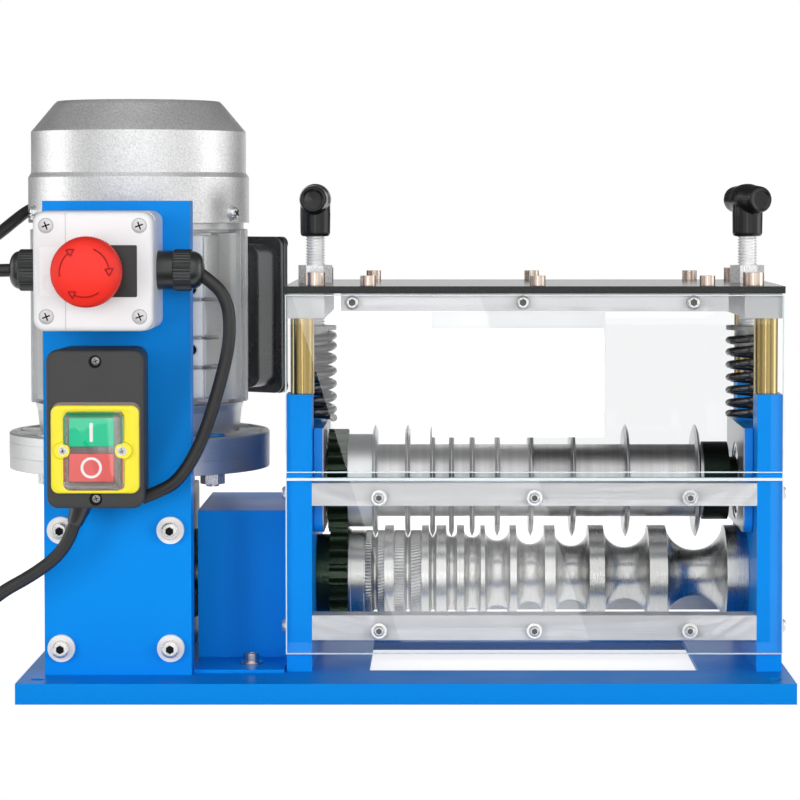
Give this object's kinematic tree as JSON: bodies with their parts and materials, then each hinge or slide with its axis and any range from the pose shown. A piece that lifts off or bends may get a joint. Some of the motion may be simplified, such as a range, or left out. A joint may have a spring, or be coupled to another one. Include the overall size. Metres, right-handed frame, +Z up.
{
  "type": "electric wire stripping machine",
  "caption": "Bench machine that slits cable insulation between motor-driven grooved rollers and a sprung shaft of round blades, with clear guards and a side drive tower.",
  "frame": {"origin": "on the floor under the middle of the base pan", "axes": "+X to the right along the rollers, +Y away from the operator, +Z up"},
  "size_m": [0.593, 0.3124, 0.3513],
  "materials": {
    "blue_paint": "semi-gloss",
    "silver_paint": "satin silver",
    "black_paint": "satin",
    "brushed_aluminium": "brushed",
    "bright_steel": "ground",
    "dark_steel": "blackened",
    "zinc": "zinc plated",
    "brass_posts": "polished",
    "spring_steel": "gloss black",
    "clear_acrylic": "clear",
    "white_card": "plain card",
    "black_plastic": "fine texture",
    "grey_plastic": "satin",
    "yellow_plastic": "satin",
    "red_plastic": "gloss",
    "green_plastic": "gloss",
    "black_cord": "smooth sheath",
    "steel_core": "laminated"
  },
  "bodies": {
    "frame": {"base_plate": "blue_paint", "tower_panel": "blue_paint", "panel_spacers": "grey_plastic", "shaft_cover": "blue_paint", "left_upright": "blue_paint", "right_upright": "blue_paint", "guide_posts": "brass_posts", "end_blocks": "brushed_aluminium", "top_plate": "black_paint", "cap_screws": "zinc", "hex_fasteners": "zinc", "guard_bars": "brushed_aluminium", "front_upper_guard": "clear_acrylic", "front_lower_guard": "clear_acrylic", "rear_upper_guard": "clear_acrylic", "pan_head_screws": "bright_steel", "sign_cards": "white_card", "lower_bearings": "bright_steel", "gearbox_housing": "silver_paint", "motor_housing": "silver_paint", "motor_flange": "silver_paint", "stator": "steel_core", "fan_cover": "silver_paint", "terminal_box": "black_plastic", "terminal_box_lid": "black_plastic", "e_stop_box": "grey_plastic", "e_stop_lid": "grey_plastic", "cable_glands": "black_plastic", "switch_box": "black_plastic", "switch_frame": "yellow_plastic", "switch_cover": "clear_acrylic", "mains_cord": "black_cord", "mains_coil": "black_cord", "mains_plug": "black_plastic", "link_cord": "black_cord", "motor_lead": "black_cord"},
    "rotor": {"motor_rotor": "bright_steel", "cooling_fan": "black_plastic"},
    "feed": {"lower_shaft": "bright_steel", "feed_roller": "bright_steel", "lower_gear": "dark_steel", "worm_wheel": "brass_posts"},
    "carriage": {"bearing_blocks": "blue_paint", "upper_bearings": "bright_steel", "left_spring": "spring_steel", "right_spring": "spring_steel"},
    "arbor": {"upper_shaft": "bright_steel", "cutting_blades": "bright_steel", "spacer_sleeves": "dark_steel", "upper_gear": "dark_steel"},
    "left_seat_body": {"left_seat": "bright_steel"},
    "right_seat_body": {"right_seat": "bright_steel"},
    "left_screw_body": {"left_screw": "bright_steel", "left_knob": "black_plastic"},
    "right_screw_body": {"right_screw": "bright_steel", "right_knob": "black_plastic"},
    "stop_stem_body": {"e_stop_stem": "dark_steel"},
    "stop_head_body": {"e_stop_button": "red_plastic"},
    "start_key": {"start_button": "green_plastic"},
    "stop_key": {"stop_button": "red_plastic"}
  },
  "joints": [
    {"name": "motor_spin", "type": "hinge", "parent": "frame", "child": "rotor", "pos_m": [-0.169, 0.052, 0.2], "axis": [0, 0, 1], "continuous": true},
    {"name": "feed_spin", "type": "hinge", "parent": "frame", "child": "feed", "pos_m": [0.075, 0.012, 0.0615], "axis": [1, 0, 0], "continuous": true},
    {"name": "carriage_slide", "type": "slide", "parent": "frame", "child": "carriage", "axis": [0, 0, 1], "range_m": [0, 0.005], "stiffness_N_per_m": 3000, "deforming": ["left_spring", "right_spring"]},
    {"name": "blade_spin", "type": "hinge", "parent": "carriage", "child": "arbor", "pos_m": [0.075, 0.012, 0.1185], "axis": [1, 0, 0], "continuous": true},
    {"name": "left_seat_slide", "type": "slide", "parent": "frame", "child": "left_seat_body", "axis": [0, 0, 1], "range_m": [-0.01, 0.007], "deforming": ["left_spring"]},
    {"name": "left_screw_turn", "type": "hinge", "parent": "left_seat_body", "child": "left_screw_body", "pos_m": [-0.057, 0.012, 0.25], "axis": [0, 0, 1], "range_deg": [-2060, 1442]},
    {"name": "right_seat_slide", "type": "slide", "parent": "frame", "child": "right_seat_body", "axis": [0, 0, 1], "range_m": [-0.01, 0.007], "deforming": ["right_spring"]},
    {"name": "right_screw_turn", "type": "hinge", "parent": "right_seat_body", "child": "right_screw_body", "pos_m": [0.207, 0.012, 0.25], "axis": [0, 0, 1], "range_deg": [-2060, 1442]},
    {"name": "stop_push", "type": "slide", "parent": "frame", "child": "stop_stem_body", "axis": [0, 1, 0], "range_m": [0, 0.004]},
    {"name": "stop_twist", "type": "hinge", "parent": "stop_stem_body", "child": "stop_head_body", "pos_m": [-0.1775, -0.13, 0.25], "axis": [0, 1, 0], "range_deg": [0, 45], "stiffness_Nm_per_rad": 0.05},
    {"name": "start_press", "type": "slide", "parent": "frame", "child": "start_key", "axis": [0, 1, 0], "range_m": [0, 0.003], "stiffness_N_per_m": 400},
    {"name": "stop_press", "type": "slide", "parent": "frame", "child": "stop_key", "axis": [0, 1, 0], "range_m": [0, 0.003], "stiffness_N_per_m": 400}
  ],
  "couplings": [
    {"joint": "feed_spin", "follows": "motor_spin", "ratio": -0.025},
    {"joint": "blade_spin", "follows": "motor_spin", "ratio": 0.025},
    {"joint": "left_screw_turn", "follows": "left_seat_slide", "rad_per_m": 3590.4},
    {"joint": "right_screw_turn", "follows": "right_seat_slide", "rad_per_m": 3590.4}
  ]
}
